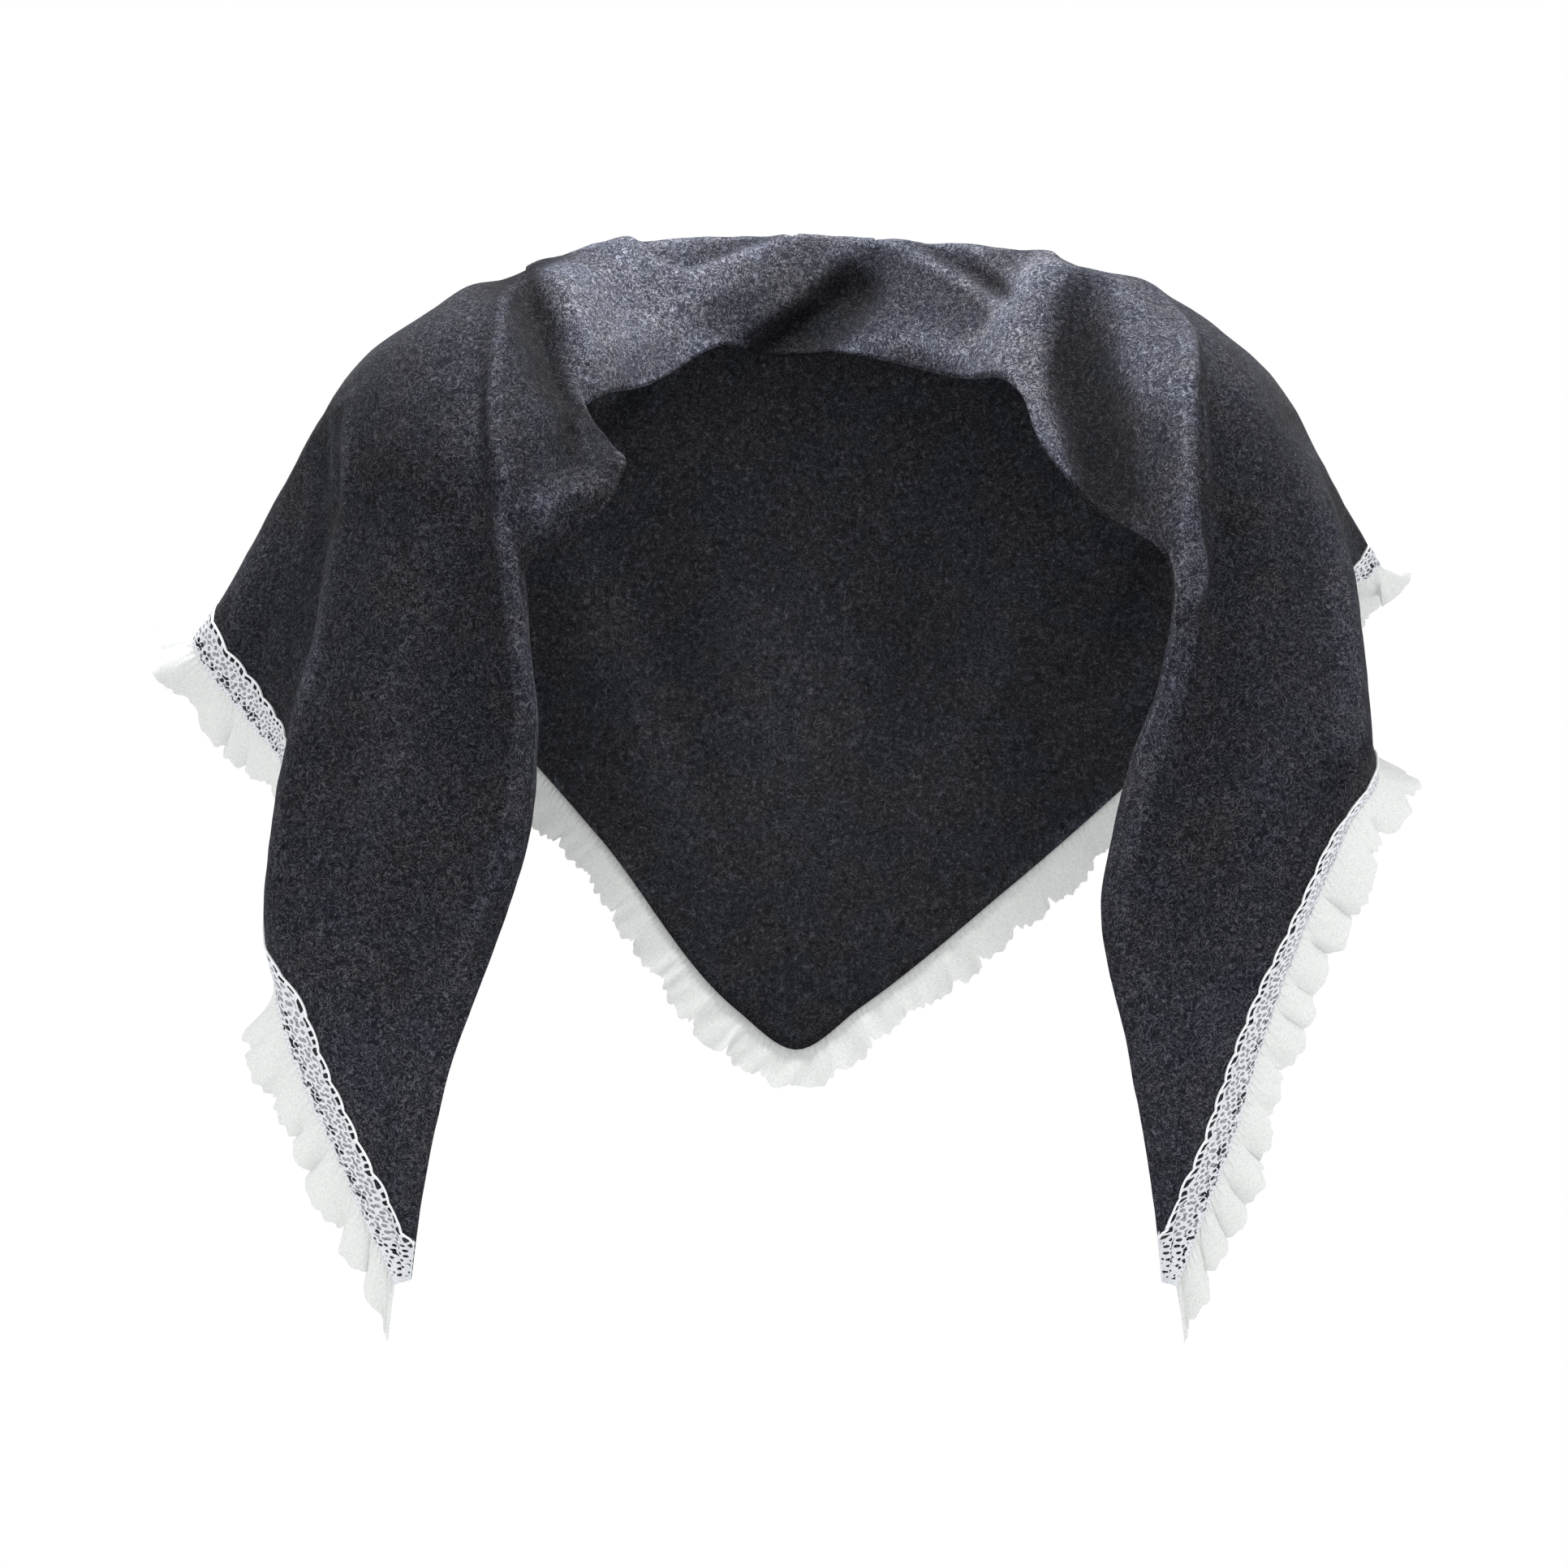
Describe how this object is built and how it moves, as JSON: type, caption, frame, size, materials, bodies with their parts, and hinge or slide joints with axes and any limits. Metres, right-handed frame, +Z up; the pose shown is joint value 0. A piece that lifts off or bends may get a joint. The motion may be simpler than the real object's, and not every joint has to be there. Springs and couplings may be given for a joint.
{
  "type": "triangular wool shawl scarf with lace trim, worn on the shoulders",
  "caption": "Charcoal heather wool triangle scarf with gathered white lace on its short edges, hollow, as worn over the shoulders.",
  "frame": {"origin": "middle of the shoulder line, where the wearer's shoulders carry the scarf", "axes": "+Z up, the wearer faces -Y, +X to the right as seen from the front"},
  "size_m": [0.6545, 0.217, 0.563],
  "materials": {
    "charcoal_wool": "brushed heather wool, short nap",
    "white_lace": "matt white gathered lace"
  },
  "bodies": {
    "root": {"left_fall": "charcoal_wool", "left_shoulder": "charcoal_wool", "nape_fold": "charcoal_wool", "back_panel": "charcoal_wool", "right_shoulder": "charcoal_wool", "right_fall": "charcoal_wool", "lace_left_front": "white_lace", "lace_left_flap": "white_lace", "lace_back_left": "white_lace", "lace_back_right": "white_lace", "lace_right_flap": "white_lace", "lace_right_front": "white_lace"}
  },
  "joints": []
}
